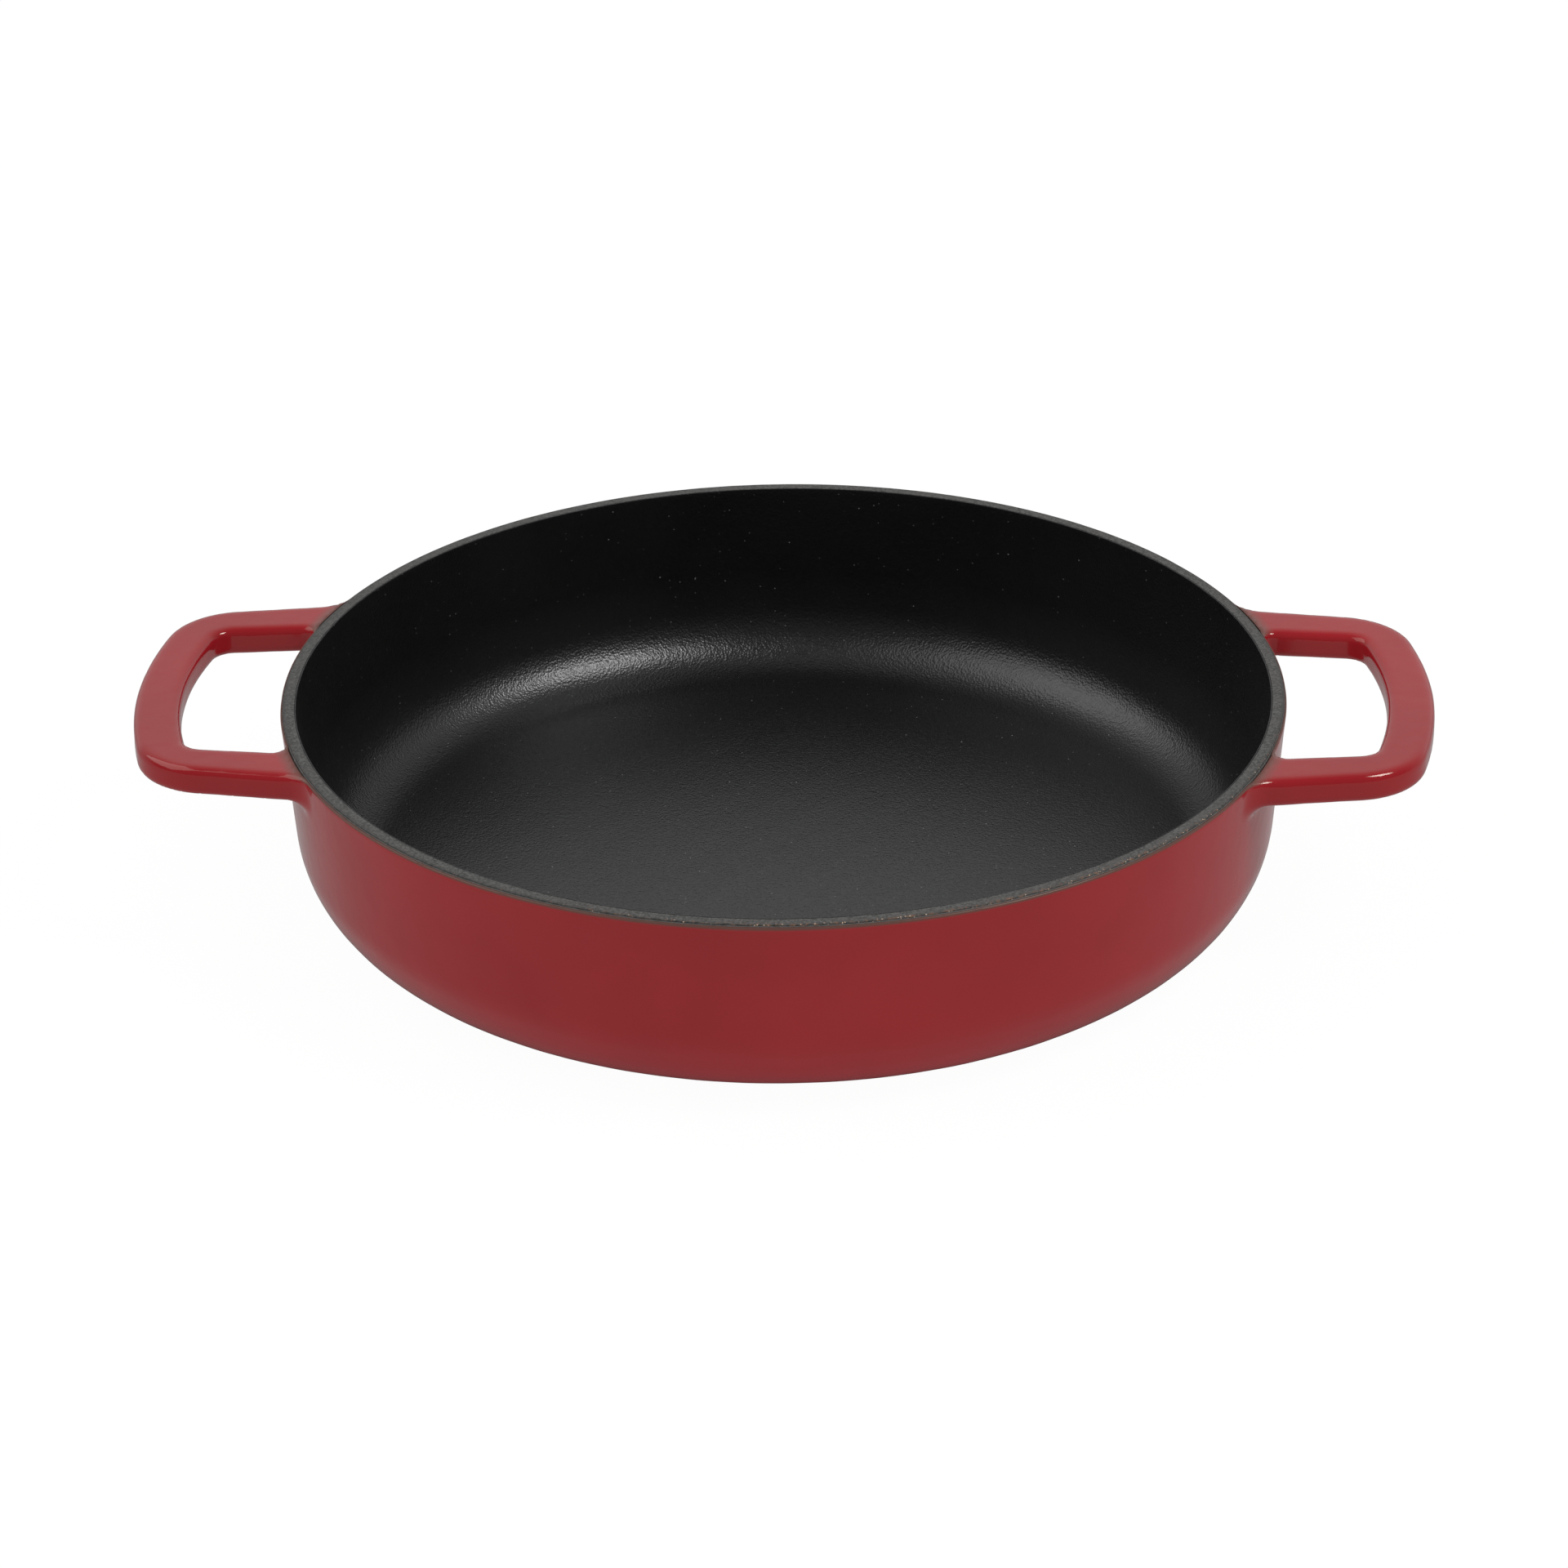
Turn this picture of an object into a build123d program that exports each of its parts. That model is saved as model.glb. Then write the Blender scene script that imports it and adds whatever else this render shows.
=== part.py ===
from build123d import *
import os
from math import cos, hypot, radians, sin, sqrt, tan

# Enamelled cast iron serving pan: one casting (bowl and two loop handles) under three fired coats.
# Frame: +Z up, origin on the underside at the bowl's centre, handles at +X and -X. Millimetres.

# Bowl, measured over the enamel
RIM_RADIUS = 140.9          # where the wall's slope would meet the rim's top
HEIGHT = 60.0
WALL_DRAFT = 4.8            # outside wall leans outward, degrees from vertical
CORNER_RADIUS = 27.2        # outside arc from wall to underside

# Cavity, measured at the iron
MOUTH_RADIUS = 136.8
CAVITY_DRAFT = 5.0          # leans more than the outside, so the wall thickens downward
CAVITY_CORNER_RADIUS = 18.4
IRON_FLOOR = 5.4            # height of the iron's cooking surface

# Coats
COVER_COAT = 0.4            # red outside, black inside
GROUND_COAT = 0.3           # grey, left showing on the rim
BAND_RADIUS = 140.1         # outer edge of the grey band
BAND_EDGE_RADIUS = 0.25
RED_TOP = 59.6              # the red coat's shoulder, a little lower than the grey band
RED_EDGE_RADIUS = 0.35
IRON_EDGE_RADIUS = 0.8      # outer edge of the casting's rim, under the coats
COAT_EDGE_RADIUS = 0.15     # soft top edge of the black coat

# Loop handles, measured over the enamel at the +X side; the other is its mirror image
HANDLE_TOP = 59.2
HANDLE_THICKNESS = 8.3
HANDLE_EDGE_RADIUS = 2.4
HANDLE_START = 120.0        # bars begin here, inside the wall
GRIP = dict(reach=181.9, half_start=57.1, half_end=49.5, crown=149.5, corner=21.8)
OPENING = dict(reach=168.8, half_start=40.9, half_end=37.0, crown=127.7, corner=6.2)

# Cast blend where each bar leaves the wall
ROOT_RADIUS = 3.0
ROOT_STOCK = 12.0           # wall carried above the handles while the blend is made

NEAR = 0.05                 # an edge this close to the wall's surface counts as lying on it


def wall_radius(z, inset=0.0):
    """Outside wall's radius at height z, on the surface `inset` under the enamel."""
    lean = radians(WALL_DRAFT)
    return RIM_RADIUS - (HEIGHT - z) * tan(lean) - inset / cos(lean)


def cavity_radius(z, inset=0.0):
    """Inside wall's radius at height z, on the surface `inset` inward of the iron's."""
    lean = radians(CAVITY_DRAFT)
    return MOUTH_RADIUS - (HEIGHT - z) * tan(lean) - inset / cos(lean)


def cup(radius_at, draft, bottom, top, corner_radius):
    """Solid cup: flat bottom, tangent corner arc, drafted wall, flat top."""
    lean = radians(draft)
    tangent_z = bottom + corner_radius * (1 - sin(lean))
    centre = (radius_at(tangent_z) - corner_radius * cos(lean), bottom + corner_radius)
    with BuildPart() as solid:
        with BuildSketch(Plane.XZ):
            with BuildLine():
                base = Line((0, bottom), (centre[0], bottom))
                corner = CenterArc(centre, corner_radius, -90, 90 - draft)
                wall = Line(corner @ 1, (radius_at(top), top))
                Polyline(wall @ 1, (0, top), base @ 0)
            make_face()
        revolve(axis=Axis.Z)
    return solid.part


def outside_cup(inset, top):
    return cup(lambda z: wall_radius(z, inset), WALL_DRAFT, inset, top, CORNER_RADIUS - inset)


def cavity_cup(inset, top):
    return cup(lambda z: cavity_radius(z, inset), CAVITY_DRAFT, IRON_FLOOR + inset, top,
               CAVITY_CORNER_RADIUS - inset)


def loop_plan(reach, half_start, half_end, crown, corner):
    """One outline of a loop in plan: two converging straight sides joined by a crowned end."""
    end_x = reach - crown + sqrt(crown**2 - half_end**2)
    with BuildSketch() as plan:
        with BuildLine():
            Line((HANDLE_START, -half_start), (end_x, -half_end))
            ThreePointArc((end_x, -half_end), (reach, 0), (end_x, half_end))
            Line((end_x, half_end), (HANDLE_START, half_start))
            Line((HANDLE_START, half_start), (HANDLE_START, -half_start))
        make_face()
        fillet(plan.vertices().group_by(Axis.X)[-1], corner)
    return plan.sketch


def rounded_cup(inset, top, edge_radius):
    """The outside cup with its top edge rounded over."""
    with BuildPart() as solid:
        add(outside_cup(inset, top))
        fillet(solid.edges().group_by(Axis.Z)[-1], edge_radius)
    return solid.part


def handle_loop(inset):
    """Loop handle at +X with rounded edges, its bars running on into the wall."""
    underside = Plane.XY.offset(HANDLE_TOP - HANDLE_THICKNESS + inset)
    thickness = HANDLE_THICKNESS - 2 * inset
    with BuildPart() as loop:
        with BuildSketch(underside):
            add(loop_plan(**GRIP))
            offset(amount=-inset)
        extrude(amount=thickness)
        with BuildSketch(underside):
            add(loop_plan(**OPENING))
            offset(amount=inset)
        extrude(amount=thickness, mode=Mode.SUBTRACT)
        face_edges = loop.faces().filter_by(Plane.XY).edges()
        held_edges = face_edges.filter_by(lambda edge: (edge @ 0.5).X > HANDLE_START + inset + NEAR)
        fillet(held_edges, HANDLE_EDGE_RADIUS - inset)
    return loop.part


def pan_blank(inset):
    """Solid form of bowl and handles up to the handles' top face, `inset` under the enamel."""
    top = HANDLE_TOP - inset
    bottom = HANDLE_TOP - HANDLE_THICKNESS + inset

    def is_root(edge):
        middle = edge @ 0.5
        gap = abs(hypot(middle.X, middle.Y) - wall_radius(middle.Z, inset))
        return gap < NEAR and bottom - NEAR < middle.Z < top + NEAR

    with BuildPart() as blank:
        add(outside_cup(inset, HANDLE_TOP + ROOT_STOCK))
        loop = handle_loop(inset)
        add(loop)
        mirror(loop, about=Plane.YZ)
        fillet(blank.edges().filter_by(is_root), ROOT_RADIUS + inset)
        split(bisect_by=Plane.XY.offset(top), keep=Keep.BOTTOM)
    return blank.part


os.makedirs("parts", exist_ok=True)

# Forms that more than one piece shares
iron_top = HEIGHT - GROUND_COAT
iron_form = pan_blank(COVER_COAT)
iron_wall = rounded_cup(COVER_COAT, iron_top, IRON_EDGE_RADIUS)
cavity = cavity_cup(0, HEIGHT)

# The casting: bowl and both handles in one pour, hollowed by the cavity
with BuildPart() as pan_casting:
    add(iron_form)
    add(iron_wall)
    add(cavity, mode=Mode.SUBTRACT)
pan_casting.part.label = "pan_casting"
export_step(pan_casting.part, "parts/pan_casting.step")

# Collar of the red coat from the handles' top face up to its shoulder
with BuildPart() as red_collar:
    add(rounded_cup(0, RED_TOP, RED_EDGE_RADIUS))
    add(iron_wall, mode=Mode.SUBTRACT)
    split(bisect_by=Plane.XY.offset(HANDLE_TOP), keep=Keep.TOP)

# Red coat over the bowl's outside, its underside and the handles; it stops short of the rim's top
with BuildPart() as exterior_enamel:
    add(pan_blank(0))
    add(iron_form, mode=Mode.SUBTRACT)
    add(iron_wall, mode=Mode.SUBTRACT)
    add(red_collar.part)
exterior_enamel.part.label = "exterior_enamel"
export_step(exterior_enamel.part, "parts/exterior_enamel.step")

# Black coat over the cooking surface, up to the rim's inner edge
with BuildPart() as interior_enamel:
    add(cavity)
    add(cavity_cup(COVER_COAT, HEIGHT), mode=Mode.SUBTRACT)
    lip_edges = interior_enamel.edges().group_by(Axis.Z)[-1].sort_by(SortBy.LENGTH)
    fillet(lip_edges[0], COAT_EDGE_RADIUS)
interior_enamel.part.label = "interior_enamel"
export_step(interior_enamel.part, "parts/interior_enamel.step")

# Grey ground coat left bare on the rim: a flat band that stands a little proud of the red
with BuildPart() as rim_ground_coat:
    with BuildSketch(Plane.XY.offset(RED_TOP)):
        Circle(BAND_RADIUS)
    extrude(amount=HEIGHT - RED_TOP)
    fillet(rim_ground_coat.edges().group_by(Axis.Z)[-1], BAND_EDGE_RADIUS)
    add(iron_wall, mode=Mode.SUBTRACT)
    add(cavity, mode=Mode.SUBTRACT)
rim_ground_coat.part.label = "rim_ground_coat"
export_step(rim_ground_coat.part, "parts/rim_ground_coat.step")
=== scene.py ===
"""Looks for the enamelled cast iron serving pan: red gloss outside, matt black inside, grey rim.

The iron casting stays the CAD's own. The three coats are modelled here as closed skins in the same
places, with soft blends at the handle roots, slightly wavy glaze edges and procedural enamels.
Lengths are in metres in the CAD frame: +Z up, handles at +X and -X, origin under the bowl's centre.
"""

from math import cos, pi, radians, sin, tan

import bpy
import numpy as np
from mathutils import Matrix, Vector


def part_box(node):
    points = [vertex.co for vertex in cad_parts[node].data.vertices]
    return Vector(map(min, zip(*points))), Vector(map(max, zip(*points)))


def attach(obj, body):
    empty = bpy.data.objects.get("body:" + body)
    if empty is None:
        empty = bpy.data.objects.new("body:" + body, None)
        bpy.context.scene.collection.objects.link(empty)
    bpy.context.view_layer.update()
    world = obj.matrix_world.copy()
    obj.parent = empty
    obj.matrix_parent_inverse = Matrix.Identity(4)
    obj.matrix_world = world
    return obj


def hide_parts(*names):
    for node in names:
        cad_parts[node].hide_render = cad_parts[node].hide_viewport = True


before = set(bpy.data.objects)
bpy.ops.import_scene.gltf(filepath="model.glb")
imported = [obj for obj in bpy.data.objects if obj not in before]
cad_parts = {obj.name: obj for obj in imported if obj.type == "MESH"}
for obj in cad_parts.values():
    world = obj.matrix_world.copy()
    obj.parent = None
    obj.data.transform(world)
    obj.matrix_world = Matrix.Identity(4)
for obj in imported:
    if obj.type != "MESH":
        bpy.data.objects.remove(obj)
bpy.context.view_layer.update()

MM = 0.001

# ---------------------------------------------------------------- driving dimensions
RING_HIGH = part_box("rim_ground_coat")[1]
GLAZE_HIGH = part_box("exterior_enamel")[1]
LINING_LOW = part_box("interior_enamel")[0]

HEIGHT = RING_HIGH.z
BAND_RADIUS = RING_HIGH.x               # outer edge of the grey band
RED_TOP = GLAZE_HIGH.z                  # shoulder of the red coat, a little lower than the band
HANDLE_REACH = GLAZE_HIGH.x
COAT = 0.4 * MM                         # thickness of the red and of the black coat

RIM_RADIUS = 140.9 * MM                 # where the wall's slope would meet the rim's top
WALL_LEAN = radians(4.8)
CORNER_RADIUS = 27.2 * MM

MOUTH_RADIUS = 136.8 * MM
CAVITY_LEAN = radians(5.0)
CAVITY_CORNER = 18.0 * MM
FLOOR = LINING_LOW.z + COAT             # height of the cooking surface

HANDLE_TOP = 59.2 * MM
HANDLE_THICKNESS = 8.3 * MM
HANDLE_EDGE = 2.4 * MM
ROOT_BLEND = 4.4 * MM                   # cast fillet under and beside each bar
FLARE_EDGE = 1.3 * MM                   # rounding of the bars' top edge where it flares into the wall
FLARE_LENGTH = 5 * MM
RED_ROLL = 0.8 * MM                     # rounded shoulder of the red along the rim
BROW_BLEND = 0.9 * MM                   # meniscus of glaze where a bar's top meets the rim
BROW_TAPER = 2.0 * MM
BAR_START = 120.0 * MM

GRIP = dict(reach=HANDLE_REACH, half_start=57.1 * MM, half_end=49.5 * MM, crown=149.5 * MM,
            corner=21.8 * MM)
OPENING = dict(reach=168.8 * MM, half_start=40.9 * MM, half_end=37.0 * MM, crown=127.7 * MM,
               corner=6.2 * MM)

GLAZE_TOP = RED_TOP - 0.20 * MM         # open edge of the red coat, on its shoulder
LINING_TOP = HEIGHT - 0.03 * MM         # upper edge of the black coat
LINING_LIP = 0.2 * MM                   # height of its rounded lip
BAND_INNER = MOUTH_RADIUS + 0.02 * MM   # the grey band, just clear of the black coat
BAND_OUTER = BAND_RADIUS - 0.06 * MM    # a hair inside the CAD's band
BAND_LOW = GLAZE_TOP - 0.1 * MM         # it reaches down behind the red coat's open edge
BAND_EDGE = 0.3 * MM                    # rounding of its outer edge
BAND_NIB = 0.12 * MM                    # and of its inner edge
WORN_HEIGHT = 28 * MM                   # use has polished the black coat from the floor up to here

# Slight unevenness of the coats: depth, and the lengths of the waves that make it up
GLAZE_RIPPLE = 0.050 * MM
GLAZE_WAVES = (31 * MM, 23 * MM, 17 * MM, 11 * MM, 9 * MM)
CALM_DEPTH = 2.5 * MM                   # the ripple dies down this close to the red's upper edge
CALM_SHARE = 0.25                       # to this share of its depth
LINING_RIPPLE = 0.06 * MM
LINING_WAVES = (37 * MM, 29 * MM, 19 * MM, 13 * MM)
RIM_RIPPLE = 0.015 * MM                 # on the grey band's top
RIM_WAVES = (14 * MM, 9 * MM, 5.3 * MM, 3.1 * MM, 2.2 * MM)
RIM_WAVER = 0.04 * MM                   # on the grey band's outer edge
WAVER_WAVES = (17 * MM, 8 * MM, 4.1 * MM, 2.7 * MM)

# Mesh spacing
NET_STEP = 2.3 * MM                     # grid of the glaze's surface net over the bowl
NET_FINE = 1.3 * MM                     # finer where the bars' edges run
NET_RISE = 0.75 * MM                    # and finer still upward, at the handles and rim
FINE_INWARD = 7 * MM                    # how far past the bars the finer stretches reach: inward,
FINE_OUTWARD = 5 * MM                   # outward
FINE_DOWN = 2 * MM                      # and down
SETTLE_ROUNDS = 8                       # rounds of evening out the glaze's points
SETTLE_SHARE = 0.6                      # share of the way to its neighbours' mean, each round
SETTLE_STEP = 0.4 * MM                  # longest move of a point in one step onto the surface
LINING_STEP = 1.6 * MM
LINING_BACK_STEP = 4 * MM
LINING_SEGMENTS = 384
RIM_SEGMENTS = 1200

# ---------------------------------------------------------------- colours (linear), materials, studio
RED_FULL = (0.248, 0.0102, 0.0150)
RED_DEEP = (0.212, 0.0080, 0.0120)
RED_FLECK = (0.190, 0.007, 0.010)
FEATHER_BROWN = (0.080, 0.043, 0.034)
BLACK_DEEP = (0.0024, 0.0024, 0.0024)
BLACK_WORN = (0.0040, 0.0040, 0.0040)
SPECK = (0.18, 0.18, 0.18)
GREY_DARK = (0.014, 0.014, 0.013)
GREY_LIGHT = (0.072, 0.071, 0.068)
GREY_WARM = (0.060, 0.052, 0.044)
RUST = (0.105, 0.052, 0.028)
FLECK = (0.34, 0.24, 0.17)
IRON_DARK = (0.070, 0.068, 0.066)
IRON_LIGHT = (0.150, 0.147, 0.142)
PAINTED_WARM_REFLECTION = (1.0, 0.98, 0.87)           # painted warm light: the red glaze's reflections are tinted slightly warm, for a warmer surround
FLOOR_TINT = (0.90, 0.90, 0.90)

# Materials: size of a feature, and how deep its bump is
NOISE_LOW, NOISE_HIGH = 0.3, 0.7        # nearly all of a noise's values lie between these
RED_CLOUD_SIZE = 45 * MM
RED_FLECK_SIZE = 0.7 * MM
SHEEN_SIZE = 18 * MM
PEEL_SIZE, PEEL_DEPTH = 5.5 * MM, 0.08 * MM
FINE_PEEL_SIZE, FINE_PEEL_DEPTH = 1.6 * MM, 0.006 * MM
FOOT_WEAR_HEIGHT = 0.35 * MM            # the underside's gloss is worn up to here
FEATHER_START = RIM_RADIUS + 3.0 * MM   # the red begins to brown here, going in towards the rim,
FEATHER_END = RIM_RADIUS - 1.1 * MM     # and is brown here
BROWN_LOW = HANDLE_TOP - 0.9 * MM       # and only on top: it starts at this height
BROWN_FULL = HANDLE_TOP - 0.2 * MM      # and is full from this one up
FEATHER_WAVER_SIZE, FEATHER_WAVER = 2.5 * MM, 1.6 * MM
GLOSS_FULL = HANDLE_TOP + 0.02 * MM     # the red's reflections are full up to this height
GLOSS_GONE = HANDLE_TOP + 0.15 * MM     # and weak above this one, along the rim
BLACK_CLOUD_SIZE = 30 * MM
CAST_SIZE, CAST_DEPTH = 1.5 * MM, 0.09 * MM
PEBBLE_SIZE, PEBBLE_DEPTH = 0.65 * MM, 0.09 * MM
SPECK_SPACING = 1.5 * MM
GRAIN_SIZE, GRAIN_DEPTH = 0.7 * MM, 0.07 * MM
BLOTCH_SIZE = 7 * MM
RUST_SIZE, RUST_DEPTH = 1.3 * MM, 0.03 * MM
RUST_AND_SHADE_START = BAND_RADIUS - 1.2 * MM     # rust, flecks and the painted shade of the outer edge come in from here
RUST_AND_SHADE_FULL = BAND_RADIUS - 0.4 * MM      # to here
FLECK_SPACING = 0.6 * MM
SAND_SIZE, SAND_DEPTH = 0.8 * MM, 0.12 * MM

# Studio
FLOOR_HALF = 6.0                        # half of the floor's side
FLOOR_SEEN = 1.0                        # the sweep's brightness to the camera,
FLOOR_MIRRORED = 0.38                   # in reflections of the open floor,
SHADE_MIRRORED = 0.06                   # in reflections of the floor close under the pan, a painted contact shadow
FLOOR_BOUNCED = 1.05                    # and as bounced light
FLOOR_SHADOW = 0.03                     # share of the sweep that takes shadows
SHADE_INNER = 122 * MM                  # the floor counts as under the pan up to this radius
SHADE_OUTER = 142 * MM                  # and as open from this one
SURROUND_FRONT = 0.10                   # brightness in reflections: the camera's side,
SURROUND_BACK = 0.66                    # the far side
SURROUND_ABOVE = 0.95                   # and the part kept straight overhead
SURROUND_SEEN = 1.0                     # brightness behind the pan to the camera
SURROUND_BOUNCED = 0.82                 # and as soft light from all round
RIGHT_BOX = dict(direction=(0.545, -0.19, 0.79), distance=1.6, width=0.48, height=0.48, power=11)
LEFT_BOX = dict(direction=(-0.68, 0.0, 0.73), distance=1.6, width=1.6, height=1.2, power=9)

CAMERA_AZIMUTH = 2.362
CAMERA_ELEVATION = 26.98
CAMERA_ROLL = -0.732
CAMERA_DISTANCE = 1.6505
CAMERA_TARGET = (-0.136 * MM, 0, 29.646 * MM)
CAMERA_LENS = 134.03


# ---------------------------------------------------------------- small mesh helpers
def make_mesh(name, points, faces, material, node):
    """Smooth-shaded piece that rides on the pan and stands for one CAD node."""
    mesh = bpy.data.meshes.new(name)
    mesh.from_pydata(points.tolist(), [], faces.tolist() if isinstance(faces, np.ndarray) else faces)
    mesh.materials.append(material)
    mesh.shade_smooth()
    piece = bpy.data.objects.new(name, mesh)
    bpy.context.scene.collection.objects.link(piece)
    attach(piece, "root")
    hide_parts(node)
    return piece


def ripple(x, y, z, wavelengths, seed):
    """Smooth aperiodic ripple between about -1 and 1, made of plane waves in seeded directions."""
    directions = np.random.default_rng(seed).normal(size=(len(wavelengths), 3))
    directions /= np.linalg.norm(directions, axis=1)[:, None]
    phases = np.random.default_rng(seed + 1).uniform(0, 2 * pi, len(wavelengths))
    total = 0
    for length, (a, b, c), phase in zip(wavelengths, directions, phases):
        total = total + np.sin(2 * pi / length * (a * x + b * y + c * z) + phase)
    return total / len(wavelengths)


# ---------------------------------------------------------------- outside form as a distance field
def outside_wall(z):
    return RIM_RADIUS - (HEIGHT - z) * tan(WALL_LEAN)


def bowl_distance(x, y, z):
    """Signed distance to the bowl's outside: flat base, corner arc, drafted wall without a top."""
    r = np.hypot(x, y)
    tangent_z = CORNER_RADIUS * (1 - sin(WALL_LEAN))
    centre_r = outside_wall(tangent_z) - CORNER_RADIUS * cos(WALL_LEAN)
    dr, dz = r - centre_r, z - CORNER_RADIUS
    flat = np.maximum(-z, (r - outside_wall(z)) * cos(WALL_LEAN))
    round_part = np.hypot(dr, dz) - CORNER_RADIUS
    on_corner = (dr > 0) & (dr * sin(WALL_LEAN) + dz * cos(WALL_LEAN) < 0)
    return np.where(on_corner, round_part, flat)


def outline_distance(x, y, reach, half_start, half_end, crown, corner):
    """Signed distance in plan to a loop outline: two straight sides, crowned end, round corners."""
    x, y = np.abs(x), np.abs(y)
    centre_x = reach - crown
    end_x = centre_x + np.sqrt(crown**2 - half_end**2)
    along = np.array([end_x - BAR_START, half_end - half_start])
    along /= np.linalg.norm(along)
    out = np.array([-along[1], along[0]])
    side_offset = out[0] * end_x + out[1] * half_end
    side = out[0] * x + out[1] * y - side_offset
    end = np.hypot(x - centre_x, y) - crown
    rise = side_offset - corner - out[0] * centre_x
    run = np.sqrt((crown - corner)**2 - rise**2)
    corner_x = centre_x + rise * out[0] + run * along[0]
    corner_y = rise * out[1] + run * along[1]
    dx, dy = x - corner_x, y - corner_y
    past_side = dx * along[0] + dy * along[1] > 0
    past_end = -dx * corner_y + dy * (corner_x - centre_x) > 0
    return np.where(past_side & past_end, np.hypot(dx, dy) - corner, np.maximum(side, end))


def round_union(a, b, radius):
    """Joins two distance fields with a fillet."""
    fillet = np.hypot(np.maximum(radius - a, 0), np.maximum(radius - b, 0))
    return np.maximum(radius, np.minimum(a, b)) - fillet


def round_cut(a, b, radius):
    """What two distance fields have in common, with a rounded edge."""
    rounding = np.hypot(np.maximum(radius + a, 0), np.maximum(radius + b, 0))
    return np.minimum(-radius, np.maximum(a, b)) + rounding


def loops_distance(x, y, z):
    """Signed distance to both loop handles, still without a top face."""
    plan = np.maximum(outline_distance(x, y, **GRIP), -outline_distance(x, y, **OPENING))
    plan = np.maximum(plan, BAR_START - np.abs(x))
    return round_cut(plan, HANDLE_TOP - HANDLE_THICKNESS - z, HANDLE_EDGE)


def pan_distance(x, y, z):
    """The glazed outside: bowl and loops joined by a cast fillet, cut off at the handles' top face."""
    bowl = bowl_distance(x, y, z)
    cast = round_union(bowl, loops_distance(x, y, z), ROOT_BLEND)
    brow = BROW_BLEND * np.clip((bowl - cast) / BROW_TAPER, 0, 1)
    away = np.clip(bowl / FLARE_LENGTH, 0, 1)
    edge = FLARE_EDGE + (HANDLE_EDGE - FLARE_EDGE) * away * away * (3 - 2 * away)
    cast = round_cut(cast, z - HANDLE_TOP, edge)
    wall = round_cut(bowl, z - RED_TOP, RED_ROLL)
    return round_union(wall, cast, brow)


# ---------------------------------------------------------------- surface net of a distance field
def graded(stops, steps):
    """Grid positions outward from 0, with one step length per stretch, and their mirror images."""
    side = [np.linspace(a, b, int(round((b - a) / step)) + 1)[1:]
            for a, b, step in zip(stops, stops[1:], steps)]
    side = np.concatenate(side)
    return np.concatenate([-side[::-1], [0], side])


def surface_net(field, axes):
    """Quads of field = 0 on a grid of three axes, one point per cell that the surface crosses."""
    values = field(*np.meshgrid(*axes, indexing="ij"))
    solid = values < 0
    cells = np.array(solid.shape) - 1
    total, count = np.zeros((*cells, 3)), np.zeros(cells)
    crossings = []
    for axis in range(3):
        near = [slice(None)] * 3
        far = [slice(None)] * 3
        near[axis], far[axis] = slice(None, -1), slice(1, None)
        near, far = tuple(near), tuple(far)
        index = np.argwhere(solid[near] != solid[far])
        v0, v1 = values[near][tuple(index.T)], values[far][tuple(index.T)]
        places = index.astype(float)
        places[:, axis] += v0 / (v0 - v1)
        others = [k for k in range(3) if k != axis]
        around = []
        for shift in ((0, 0), (1, 0), (1, 1), (0, 1)):
            cell = index.copy()
            cell[:, others[0]] -= shift[0]
            cell[:, others[1]] -= shift[1]
            kept = np.all((cell >= 0) & (cell < cells), axis=1)
            np.add.at(total, tuple(cell[kept].T), places[kept])
            np.add.at(count, tuple(cell[kept].T), 1)
            around.append((cell, kept))
        crossings.append((axis, around, v0 < 0))
    used = count > 0
    number = np.cumsum(used).reshape(used.shape) - 1
    places = total[used] / count[used][:, None]
    points = np.column_stack([np.interp(place, np.arange(len(axis)), axis)
                              for place, axis in zip(places.T, axes)])
    quads = []
    for axis, around, outward in crossings:
        whole = np.all([kept for _, kept in around], axis=0)
        corners = np.column_stack([number[tuple(cell[whole].T)] for cell, _ in around])
        # the other two axes come in cyclic order, except for axis 1, where that turns the quad over
        flip = outward[whole] ^ (axis == 1)
        corners[~flip] = corners[~flip][:, ::-1]
        quads.append(corners)
    return points, np.concatenate(quads)


def slope(field, p, reach=0.01 * MM):
    """Gradient of a field at each point, by central differences."""
    sides = []
    for axis in range(3):
        shift = np.zeros(3)
        shift[axis] = reach
        sides.append((field(*(p + shift).T) - field(*(p - shift).T)) / (2 * reach))
    return np.column_stack(sides)


def settle(field, points, quads, top, edge_radius):
    """Evens out a net's points while holding them on the surface.

    The open edge keeps to one height and stays outside a radius."""
    edges = np.concatenate([quads[:, [k, (k + 1) % 4]] for k in range(4)])
    edges.sort(axis=1)
    edges, uses = np.unique(edges, axis=0, return_counts=True)
    rim_edges = edges[uses == 1]
    on_rim = np.zeros(len(points), bool)
    on_rim[rim_edges.ravel()] = True
    links = np.concatenate([edges[uses > 1][~on_rim[edges[uses > 1]].all(axis=1)], rim_edges])
    links = np.concatenate([links, links[:, ::-1]])
    links = links[~(on_rim[links[:, 0]] & ~on_rim[links[:, 1]])]
    points = points.copy()
    for turn in range(SETTLE_ROUNDS):
        if turn:
            mean, count = np.zeros_like(points), np.zeros(len(points))
            np.add.at(mean, links[:, 0], points[links[:, 1]])
            np.add.at(count, links[:, 0], 1)
            points += SETTLE_SHARE * (mean / count[:, None] - points)
        points[on_rim, 2] = top
        radius = np.hypot(*points[on_rim, :2].T)
        points[on_rim, :2] *= np.maximum(1, edge_radius / radius)[:, None]
        for _ in range(3):
            normal = slope(field, points)
            normal[on_rim, 2] = 0
            step = (field(*points.T) / (normal**2).sum(1))[:, None] * normal
            length = np.linalg.norm(step, axis=1)[:, None]
            points -= step * np.minimum(1, SETTLE_STEP / np.maximum(length, 1e-12))
            points[:, 2] = np.minimum(points[:, 2], top)
    return points, on_rim


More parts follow.
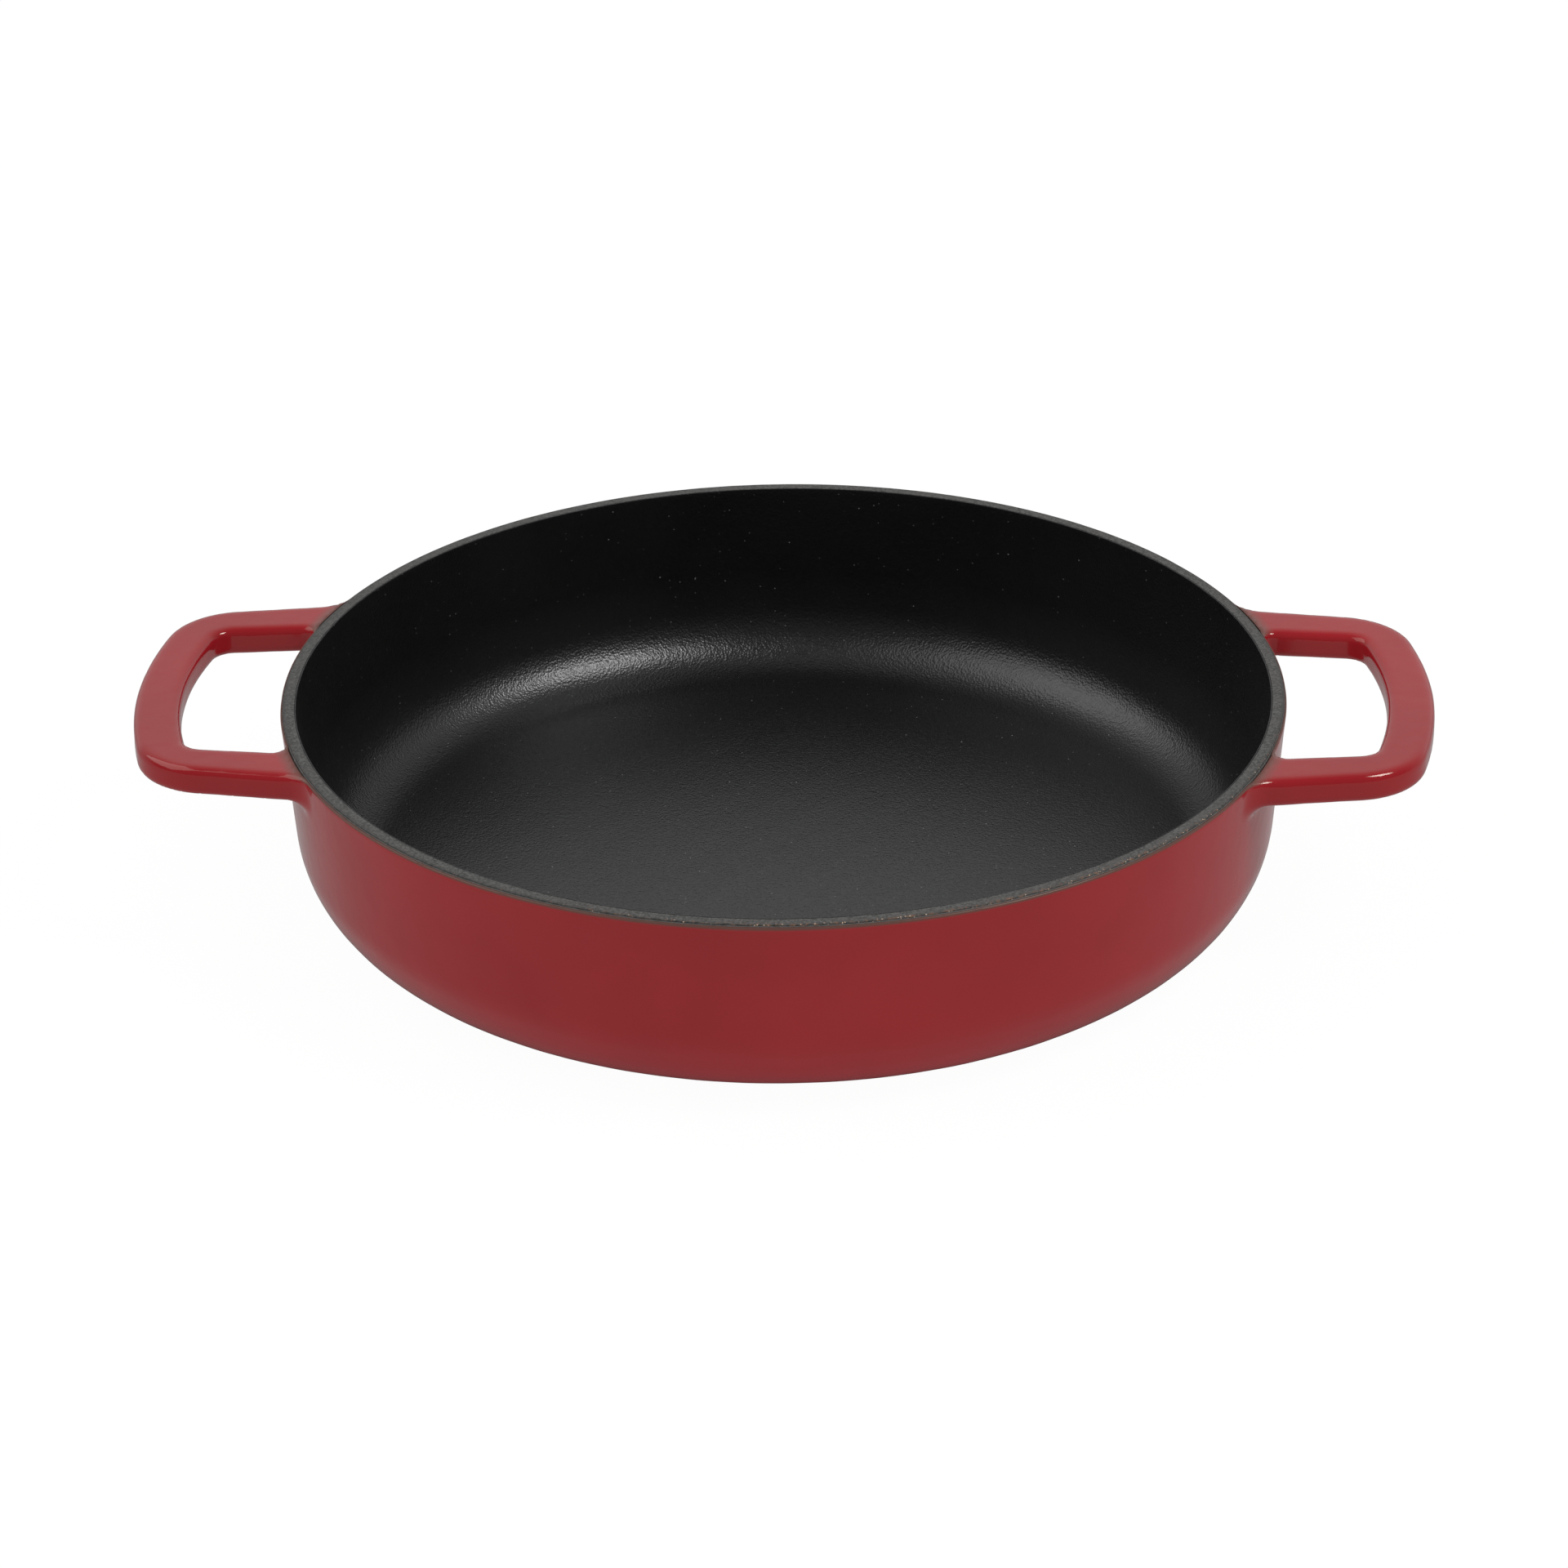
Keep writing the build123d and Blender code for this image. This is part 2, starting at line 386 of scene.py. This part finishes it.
# ---------------------------------------------------------------- the three coats
def wrap_back(points, quads, normals, on_rim, thickness):
    """Closes an open sheet into a skin: a copy set back by its thickness, joined along the rim."""
    count = len(points)
    inward = normals.copy()
    inward[on_rim, 2] = 0
    inward /= np.linalg.norm(inward, axis=1)[:, None]
    back = points - inward * thickness
    edges = np.concatenate([quads[:, [k, (k + 1) % 4]] for k in range(4)])
    keys = {tuple(edge) for edge in edges[on_rim[edges].all(axis=1)].tolist()}
    lips = [(b, a, a + count, b + count) for a, b in keys if (b, a) not in keys]
    faces = np.concatenate([quads, quads[:, ::-1] + count, np.array(lips)])
    return np.concatenate([points, back]), faces


def glazed_outside(material):
    """The red coat over the bowl's outside, underside and handles."""
    def field(x, y, z):
        wave = ripple(x, y, z, GLAZE_WAVES, seed=3)
        calm = np.clip((RED_TOP - z) / CALM_DEPTH, CALM_SHARE, 1)
        return pan_distance(x, y, z) + GLAZE_RIPPLE * (1 + wave) * calm

    margin = 2 * NET_STEP
    bar_in = OPENING["half_end"] - FINE_INWARD
    bar_out = GRIP["half_start"] + FINE_OUTWARD
    along_x = graded((0, BAR_START, HANDLE_REACH + margin), (NET_STEP, NET_FINE))
    along_y = graded((0, bar_in, bar_out, RIM_RADIUS + margin), (NET_STEP, NET_FINE, NET_STEP))
    fine_from = HANDLE_TOP - HANDLE_THICKNESS - FINE_DOWN
    below = np.arange(-margin, fine_from, NET_STEP)
    upward = np.linspace(fine_from, GLAZE_TOP, int((GLAZE_TOP - fine_from) / NET_RISE) + 1)
    points, quads = surface_net(field, (along_x, along_y, np.concatenate([below, upward])))
    points, on_rim = settle(field, points, quads, GLAZE_TOP, RIM_RADIUS - RED_ROLL / 2)
    points, faces = wrap_back(points, quads, slope(field, points), on_rim, COAT)
    return make_mesh("red_glaze", points, faces, material, "exterior_enamel")


def revolved(profile, segments, closed):
    """Points and faces of a profile of (radius, height) pairs turned round the Z axis.

    A closed profile makes a ring. An open one starts and ends on the axis, with one point there.
    Either runs counterclockwise, seen with the radius to the right, for faces that look outward."""
    angles = np.arange(segments) * 2 * pi / segments
    rings = profile if closed else profile[1:-1]
    points = np.array([(r * np.cos(angles), r * np.sin(angles), np.full(segments, z))
                       for r, z in rings])
    points = points.transpose(0, 2, 1).reshape(-1, 3)
    around = np.arange(segments)
    ahead = (around + 1) % segments
    faces = []
    for ring in range(len(rings) if closed else len(rings) - 1):
        this, following = ring * segments, (ring + 1) % len(rings) * segments
        corners = [this + around, this + ahead, following + ahead, following + around]
        faces += np.column_stack(corners).tolist()
    if not closed:
        last = (len(rings) - 1) * segments
        start, end = len(points), len(points) + 1
        points = np.concatenate([points, [(0, 0, profile[0][1]), (0, 0, profile[-1][1])]])
        faces += [(start, b, a) for a, b in zip(around.tolist(), ahead.tolist())]
        faces += [(end, last + a, last + b) for a, b in zip(around.tolist(), ahead.tolist())]
    return points, faces


def arc(centre, radius, start, end, count):
    """Points of an arc from start to end, in degrees, both ends included."""
    angles = np.radians(np.linspace(start, end, count))
    return [(centre[0] + radius * np.cos(a), centre[1] + radius * np.sin(a)) for a in angles]


def cavity_profile(inset, top, spacing):
    """The cavity's half section from the axis to its top, `inset` inside the cooking surface."""
    lean = CAVITY_LEAN
    radius = CAVITY_CORNER - inset
    bottom = FLOOR + inset
    tangent_z = bottom + radius * (1 - sin(lean))

    def wall(z):
        return MOUTH_RADIUS - (HEIGHT - z) * tan(lean) - (COAT + inset) / cos(lean)

    centre = (wall(tangent_z) - radius * cos(lean), bottom + radius)
    floor = [(r, bottom) for r in np.linspace(0, centre[0], int(centre[0] / spacing))]
    corner = arc(centre, radius, -90, -np.degrees(lean), int(radius * pi / 2 / spacing))
    side = [(wall(z), z) for z in np.linspace(tangent_z, top, int((top - tangent_z) / spacing))]
    return floor + corner[1:] + side[1:]


def lined_inside(material):
    """The black coat over the cooking surface and up the wall to the rim's inner edge."""
    top = LINING_TOP - LINING_LIP
    front = cavity_profile(0, top, LINING_STEP)
    back = cavity_profile(-COAT, top, LINING_BACK_STEP)
    lip_centre = ((front[-1][0] + back[-1][0]) / 2, top)
    over = arc(lip_centre, (back[-1][0] - front[-1][0]) / 2, 180, 0, 7)
    profile = back + over[-2:0:-1] + front[::-1]
    points, faces = revolved(profile, LINING_SEGMENTS, closed=False)
    wave = ripple(*points.T, LINING_WAVES, seed=11)
    toward = np.array([0, 0, HEIGHT]) - points
    toward /= np.linalg.norm(toward, axis=1)[:, None]
    points += (LINING_RIPPLE * wave)[:, None] * toward
    return make_mesh("black_lining", points, faces, material, "interior_enamel")


def bare_rim(material):
    """The grey ground coat on the rim: a flat band with a soft outer edge, down to behind the red."""
    middle = (BAND_LOW + HEIGHT) / 2
    edge_start, nib_end = BAND_OUTER - BAND_EDGE, BAND_INNER + BAND_NIB
    flat = [(r, HEIGHT) for r in np.linspace(edge_start, nib_end, 12)]
    profile = (
        [(BAND_INNER, BAND_LOW), (BAND_OUTER, BAND_LOW), (BAND_OUTER, middle)]
        + arc((edge_start, HEIGHT - BAND_EDGE), BAND_EDGE, 10, 90, 6)
        + flat[1:]
        + arc((nib_end, HEIGHT - BAND_NIB), BAND_NIB, 105, 180, 4)
    )
    points, faces = revolved(profile, RIM_SEGMENTS, closed=True)
    x, y, z = points.T
    r = np.hypot(x, y)
    rub = ripple(x, y, z * 0, RIM_WAVES, seed=21)
    upper = z > middle
    points[:, 2] -= (1 + rub) * RIM_RIPPLE * upper
    waver = ripple(x, y, z * 0, WAVER_WAVES, seed=25)
    points[:, :2] *= (1 - RIM_WAVER * (1 + waver) * (r > edge_start) / r)[:, None]
    return make_mesh("grey_rim", points, faces, material, "rim_ground_coat")


# ---------------------------------------------------------------- material helpers
def add_node(tree, kind, inputs=None, **settings):
    """Adds a shader node. An input may be a value or another node's output socket."""
    node = tree.nodes.new("ShaderNode" + kind)
    for name, value in settings.items():
        setattr(node, name, value)
    for name, value in (inputs or {}).items():
        if isinstance(value, bpy.types.NodeSocket):
            tree.links.new(value, node.inputs[name])
        else:
            node.inputs[name].default_value = value
    return node


def new_material(name):
    """Empty node material, its surface shader and the piece's own coordinates in metres."""
    material = bpy.data.materials.new(name)
    material.use_nodes = True
    tree = material.node_tree
    shader = tree.nodes["Principled BSDF"]
    place = add_node(tree, "TexCoord").outputs["Object"]
    return material, tree, shader, place


def noise(tree, place, size, detail=2.0, roughness=0.5):
    """Fractal noise from 0 to 1 whose largest lumps are about `size` across."""
    inputs = {"Vector": place, "Scale": 1 / size, "Detail": detail, "Roughness": roughness}
    return add_node(tree, "TexNoise", inputs).outputs["Fac"]


def remap(tree, value, low, high, to_low=0.0, to_high=1.0):
    """Linear map of low..high onto to_low..to_high, clamped."""
    inputs = {"Value": value, "From Min": low, "From Max": high, "To Min": to_low, "To Max": to_high}
    return add_node(tree, "MapRange", inputs).outputs["Result"]


def combine(tree, operation, a, b):
    """One arithmetic step between two values."""
    node = add_node(tree, "Math", {0: a, 1: b}, operation=operation)
    return node.outputs["Value"]


def mix_colour(tree, factor, a, b):
    """Blend from colour a to colour b."""
    node = add_node(tree, "Mix", data_type="RGBA")
    for index, value in ((0, factor), (6, a), (7, b)):
        if isinstance(value, bpy.types.NodeSocket):
            tree.links.new(value, node.inputs[index])
        else:
            node.inputs[index].default_value = value if index == 0 else (*value, 1)
    return node.outputs[2]


def bump(tree, height, depth, below=None):
    """Turns a height from 0 to 1 into a bump `depth` deep, on top of another bump."""
    inputs = {"Height": height, "Distance": depth, "Strength": 1.0}
    if below is not None:
        inputs["Normal"] = below
    return add_node(tree, "Bump", inputs).outputs["Normal"]


def bowl_place(tree, place):
    """Distance from the bowl's axis, height, X and Y."""
    parts = add_node(tree, "SeparateXYZ", {0: place}).outputs
    squares = [combine(tree, "POWER", parts[axis], 2.0) for axis in ("X", "Y")]
    square = combine(tree, "ADD", *squares)
    return combine(tree, "SQRT", square, 0.0), parts["Z"], parts["X"], parts["Y"]


# ---------------------------------------------------------------- materials
def red_enamel():
    """Red gloss vitreous enamel: faintly mottled and wavy, browned where it feathers out."""
    material, tree, shader, place = new_material("red enamel")
    radius, height, _, _ = bowl_place(tree, place)
    cloud = noise(tree, place, RED_CLOUD_SIZE, detail=3)
    colour = mix_colour(tree, remap(tree, cloud, NOISE_LOW, NOISE_HIGH), RED_DEEP, RED_FULL)
    speckle = noise(tree, place, RED_FLECK_SIZE, detail=1)
    colour = mix_colour(tree, remap(tree, speckle, 0.62, 0.80, 0.0, 0.35), colour, RED_FLECK)
    waver = noise(tree, place, FEATHER_WAVER_SIZE, detail=4)
    waver = combine(tree, "MULTIPLY", waver, FEATHER_WAVER)
    near_rim = combine(tree, "SUBTRACT", radius, waver)
    near_rim = remap(tree, near_rim, FEATHER_START, FEATHER_END, 0.0, 0.95)
    on_top = remap(tree, height, BROWN_LOW, BROWN_FULL)
    feather = combine(tree, "MULTIPLY", near_rim, on_top)
    colour = mix_colour(tree, feather, colour, FEATHER_BROWN)
    tree.links.new(colour, shader.inputs["Base Color"])

    sheen = noise(tree, place, SHEEN_SIZE, detail=4)
    sheen = remap(tree, sheen, NOISE_LOW, NOISE_HIGH, 0.07, 0.13)
    foot_wear = remap(tree, height, FOOT_WEAR_HEIGHT, 0.0, 0.0, 0.22)
    rough = combine(tree, "ADD", sheen, foot_wear)
    rough = combine(tree, "ADD", rough, combine(tree, "MULTIPLY", feather, 0.3))
    tree.links.new(rough, shader.inputs["Roughness"])

    peel = bump(tree, noise(tree, place, PEEL_SIZE, detail=1.5), PEEL_DEPTH)
    peel = bump(tree, noise(tree, place, FINE_PEEL_SIZE, detail=1), FINE_PEEL_DEPTH, peel)
    tree.links.new(peel, shader.inputs["Normal"])
    shader.inputs["IOR"].default_value = 1.5
    gloss = remap(tree, height, GLOSS_FULL, GLOSS_GONE, 0.5, 0.12)
    tree.links.new(gloss, shader.inputs["Specular IOR Level"])
    # painted warm light in the red's reflections
    shader.inputs["Specular Tint"].default_value = (*PAINTED_WARM_REFLECTION, 1)
    return material


def black_enamel():
    """Matt black cooking-surface enamel: finely pebbled, with sparse pale specks."""
    material, tree, shader, place = new_material("black enamel")
    _, height, _, _ = bowl_place(tree, place)
    pebble_inputs = {"Vector": place, "Scale": 1 / PEBBLE_SIZE, "Smoothness": 0.5}
    pebbles = add_node(tree, "TexVoronoi", pebble_inputs, feature="SMOOTH_F1").outputs["Distance"]
    cast = noise(tree, place, CAST_SIZE, detail=4, roughness=0.6)
    cloud = noise(tree, place, BLACK_CLOUD_SIZE, detail=3)
    colour = mix_colour(tree, remap(tree, cloud, NOISE_LOW, NOISE_HIGH), BLACK_DEEP, BLACK_WORN)

    speck_cells = add_node(tree, "TexVoronoi", {"Vector": place, "Scale": 1 / SPECK_SPACING})
    chosen = add_node(tree, "SeparateColor", {0: speck_cells.outputs["Color"]}).outputs
    size = remap(tree, chosen[0], 0.55, 1.0, 0.0, 0.14)
    speck = combine(tree, "LESS_THAN", speck_cells.outputs["Distance"], size)
    speck = combine(tree, "MULTIPLY", speck, chosen[1])
    colour = mix_colour(tree, speck, colour, SPECK)
    tree.links.new(colour, shader.inputs["Base Color"])

    rough = remap(tree, cast, NOISE_LOW, NOISE_HIGH, 0.30, 0.38)
    tree.links.new(rough, shader.inputs["Roughness"])
    relief = bump(tree, cast, CAST_DEPTH)
    relief = bump(tree, combine(tree, "SUBTRACT", 1.0, pebbles), PEBBLE_DEPTH, relief)
    tree.links.new(relief, shader.inputs["Normal"])
    polish = remap(tree, height, FLOOR + WORN_HEIGHT / 2, FLOOR + WORN_HEIGHT, 0.85, 0.40)
    tree.links.new(polish, shader.inputs["Specular IOR Level"])
    return material


def ground_coat():
    """Grey matt ground coat: grainy, with rust and pale flecks along the outer edge, which is also
    darkened as painted shade.

    The rust and the flecks are thickest towards the front, a little to the right."""
    material, tree, shader, place = new_material("ground coat")
    radius, _, x, y = bowl_place(tree, place)
    grain = noise(tree, place, GRAIN_SIZE, detail=3, roughness=0.6)
    colour = mix_colour(tree, remap(tree, grain, 0.38, 0.62), GREY_DARK, GREY_LIGHT)
    blotch = noise(tree, place, BLOTCH_SIZE, detail=4)
    colour = mix_colour(tree, remap(tree, blotch, 0.45, 0.75, 0.0, 0.35), colour, GREY_WARM)
    outer = remap(tree, radius, RUST_AND_SHADE_START, RUST_AND_SHADE_FULL)
    # painted shade: the band is darkened towards its outer edge
    colour = mix_colour(tree, combine(tree, "MULTIPLY", outer, 0.4), colour, GREY_DARK)
    rust = noise(tree, place, RUST_SIZE, detail=3, roughness=0.7)
    toward = combine(tree, "SUBTRACT", combine(tree, "MULTIPLY", x, 0.45), y)
    sector = remap(tree, toward, 0.6 * RIM_RADIUS, 1.09 * RIM_RADIUS, -0.02, 0.10)
    rust = remap(tree, combine(tree, "ADD", rust, sector), 0.60, 0.68)
    rust = combine(tree, "MULTIPLY", rust, outer)
    colour = mix_colour(tree, rust, colour, RUST)
    cells = add_node(tree, "TexVoronoi", {"Vector": place, "Scale": 1 / FLECK_SPACING})
    chosen = add_node(tree, "SeparateColor", {0: cells.outputs["Color"]}).outputs[0]
    chosen = combine(tree, "ADD", chosen, combine(tree, "MULTIPLY", sector, 2.5))
    size = remap(tree, chosen, 0.78, 1.10, 0.0, 0.38)
    fleck = combine(tree, "LESS_THAN", cells.outputs["Distance"], size)
    colour = mix_colour(tree, combine(tree, "MULTIPLY", fleck, outer), colour, FLECK)
    tree.links.new(colour, shader.inputs["Base Color"])
    rough = remap(tree, grain, NOISE_LOW, NOISE_HIGH, 0.45, 0.65)
    tree.links.new(rough, shader.inputs["Roughness"])
    relief = bump(tree, grain, GRAIN_DEPTH)
    tree.links.new(bump(tree, rust, RUST_DEPTH, relief), shader.inputs["Normal"])
    return material


def raw_iron():
    """Sand-cast grey iron under the coats."""
    material, tree, shader, place = new_material("cast iron")
    sand = noise(tree, place, SAND_SIZE, detail=5, roughness=0.6)
    colour = mix_colour(tree, remap(tree, sand, NOISE_LOW, NOISE_HIGH), IRON_DARK, IRON_LIGHT)
    tree.links.new(colour, shader.inputs["Base Color"])
    shader.inputs["Metallic"].default_value = 0.6
    rough = remap(tree, sand, NOISE_LOW, NOISE_HIGH, 0.55, 0.75)
    tree.links.new(rough, shader.inputs["Roughness"])
    tree.links.new(bump(tree, sand, SAND_DEPTH), shader.inputs["Normal"])
    return material


# ---------------------------------------------------------------- stage
def pale_floor():
    """Wide glowing white sweep. It takes only a faint shadow.

    Reflections show it dimmer than it looks, and dimmer still close under the pan, as a painted
    contact shadow."""
    half = FLOOR_HALF
    mesh = bpy.data.meshes.new("floor")
    corners = [(-half, -half, 0), (half, -half, 0), (half, half, 0), (-half, half, 0)]
    mesh.from_pydata(corners, [], [(0, 1, 2, 3)])
    material, tree, shader, place = new_material("floor")
    shader.inputs["Base Color"].default_value = (*FLOOR_TINT, 1)
    shader.inputs["Roughness"].default_value = 0.8
    shader.inputs["Specular IOR Level"].default_value = 0.0
    ray = add_node(tree, "LightPath").outputs
    glow = remap(tree, ray["Is Camera Ray"], 0.0, 1.0, FLOOR_BOUNCED, FLOOR_SEEN)
    radius = bowl_place(tree, place)[0]
    # painted contact shadow: reflections show the floor dimmer close under the pan
    mirrored = remap(tree, radius, SHADE_INNER, SHADE_OUTER, SHADE_MIRRORED, FLOOR_MIRRORED)
    glow = add_node(tree, "Mix", {0: ray["Is Glossy Ray"], 2: glow, 3: mirrored}).outputs[0]
    light = add_node(tree, "Emission", {"Color": (1, 1, 1, 1), "Strength": glow}).outputs[0]
    both = add_node(tree, "MixShader", {0: FLOOR_SHADOW, 1: light, 2: shader.outputs[0]}).outputs[0]
    tree.links.new(both, tree.nodes["Material Output"].inputs["Surface"])
    mesh.materials.append(material)
    floor = bpy.data.objects.new("floor", mesh)
    bpy.context.scene.collection.objects.link(floor)


def surround():
    """White studio surround, dimmer on the camera's side and overhead."""
    world = bpy.data.worlds.new("studio")
    bpy.context.scene.world = world
    world.use_nodes = True
    tree = world.node_tree
    back = tree.nodes["Background"]
    way = add_node(tree, "SeparateXYZ", {0: add_node(tree, "TexCoord").outputs["Generated"]}).outputs
    behind = remap(tree, way["Y"], -0.1, 0.75, SURROUND_FRONT, SURROUND_BACK)
    overhead = remap(tree, way["Z"], 0.45, 0.95, 1.0, SURROUND_ABOVE)
    mirrored = combine(tree, "MULTIPLY", behind, overhead)
    ray = add_node(tree, "LightPath").outputs
    other = remap(tree, ray["Is Camera Ray"], 0.0, 1.0, SURROUND_BOUNCED, SURROUND_SEEN)
    strength = add_node(tree, "Mix", {0: ray["Is Glossy Ray"], 2: other, 3: mirrored}).outputs[0]
    tree.links.new(strength, back.inputs["Strength"])
    back.inputs["Color"].default_value = (1, 1, 1, 1)


def soft_box(name, direction, distance, width, height, power):
    """Rectangular area light that faces the pan."""
    light = bpy.data.lights.new(name, "AREA")
    light.shape = "RECTANGLE"
    light.size, light.size_y = width, height
    light.energy = power
    box = bpy.data.objects.new(name, light)
    away = Vector(direction).normalized()
    box.location = away * distance
    box.rotation_euler = away.to_track_quat("Z", "Y").to_euler()
    bpy.context.scene.collection.objects.link(box)


def camera():
    """Camera in front of the pan, looking down on it, a touch to the right."""
    lens = bpy.data.cameras.new("camera")
    lens.lens, lens.sensor_width = CAMERA_LENS, 36
    lens.clip_start, lens.clip_end = 0.05, 50
    eye = bpy.data.objects.new("camera", lens)
    azimuth, elevation = radians(CAMERA_AZIMUTH), radians(CAMERA_ELEVATION)
    back = Vector((sin(azimuth) * cos(elevation), -cos(azimuth) * cos(elevation), sin(elevation)))
    eye.location = Vector(CAMERA_TARGET) + back * CAMERA_DISTANCE
    eye.rotation_mode = "QUATERNION"
    roll = Matrix.Rotation(radians(CAMERA_ROLL), 3, "Z")
    eye.rotation_quaternion = ((-back).to_track_quat("-Z", "Y").to_matrix() @ roll).to_quaternion()
    bpy.context.scene.collection.objects.link(eye)
    bpy.context.scene.camera = eye


# ---------------------------------------------------------------- build
bpy.context.scene.view_settings.view_transform = "Standard"

glazed_outside(red_enamel())
lined_inside(black_enamel())
bare_rim(ground_coat())
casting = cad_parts["pan_casting"]
casting.data.materials.clear()
casting.data.materials.append(raw_iron())

pale_floor()
surround()
soft_box("soft box right", **RIGHT_BOX)
soft_box("soft box left", **LEFT_BOX)
camera()
